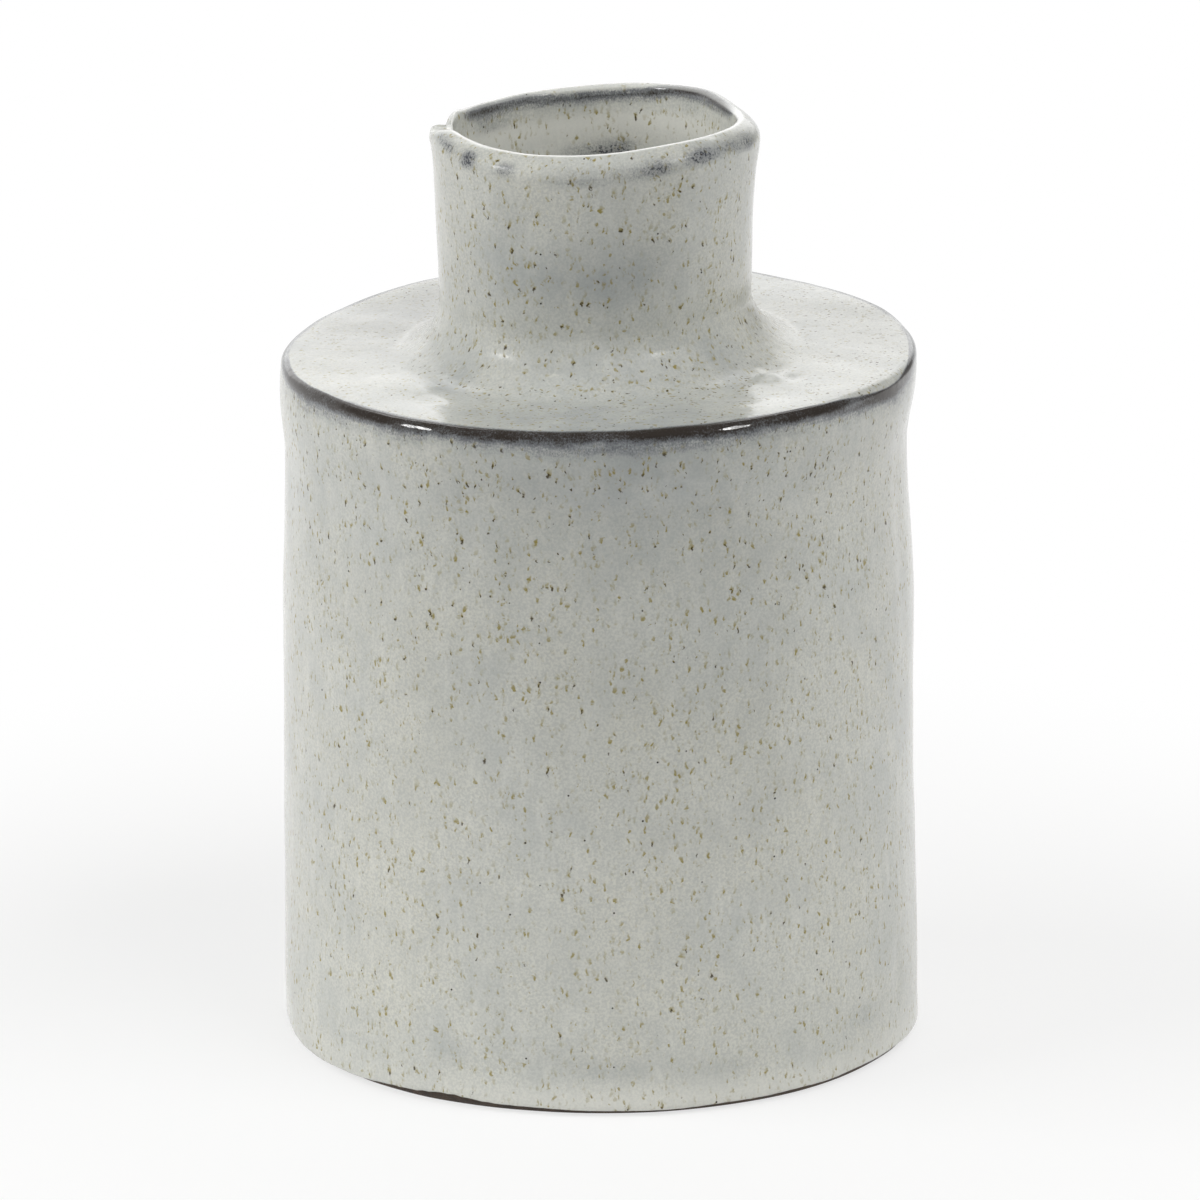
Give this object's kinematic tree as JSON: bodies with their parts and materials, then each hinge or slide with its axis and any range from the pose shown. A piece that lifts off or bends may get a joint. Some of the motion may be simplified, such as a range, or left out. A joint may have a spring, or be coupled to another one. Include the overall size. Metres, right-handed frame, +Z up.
{
  "type": "bottle vase",
  "caption": "Hand-built stoneware bottle vase: straight round body, flat shoulder and short open neck with a rounded lip, glazed down to a bare flat foot. Holds water and cut stems.",
  "frame": {"origin": "middle of the flat foot, on the surface that the vase stands on", "axes": "+Z up along the vase's axis; the pictured front faces -Y, with the neck strip's lap on the -X side"},
  "size_m": [0.1413, 0.1414, 0.2087],
  "materials": {
    "stoneware": "bare fired clay, matt and slightly gritty",
    "glaze": "glossy opaque pale grey glaze with iron speckles, breaking dark at the edges"
  },
  "bodies": {
    "root": {"base_slab": "stoneware", "body_wall": "stoneware", "floor_coil": "stoneware", "shoulder_slab": "stoneware", "shoulder_coil": "stoneware", "neck_collar": "stoneware", "neck_coil": "stoneware", "glaze_coat": "glaze"}
  },
  "joints": []
}
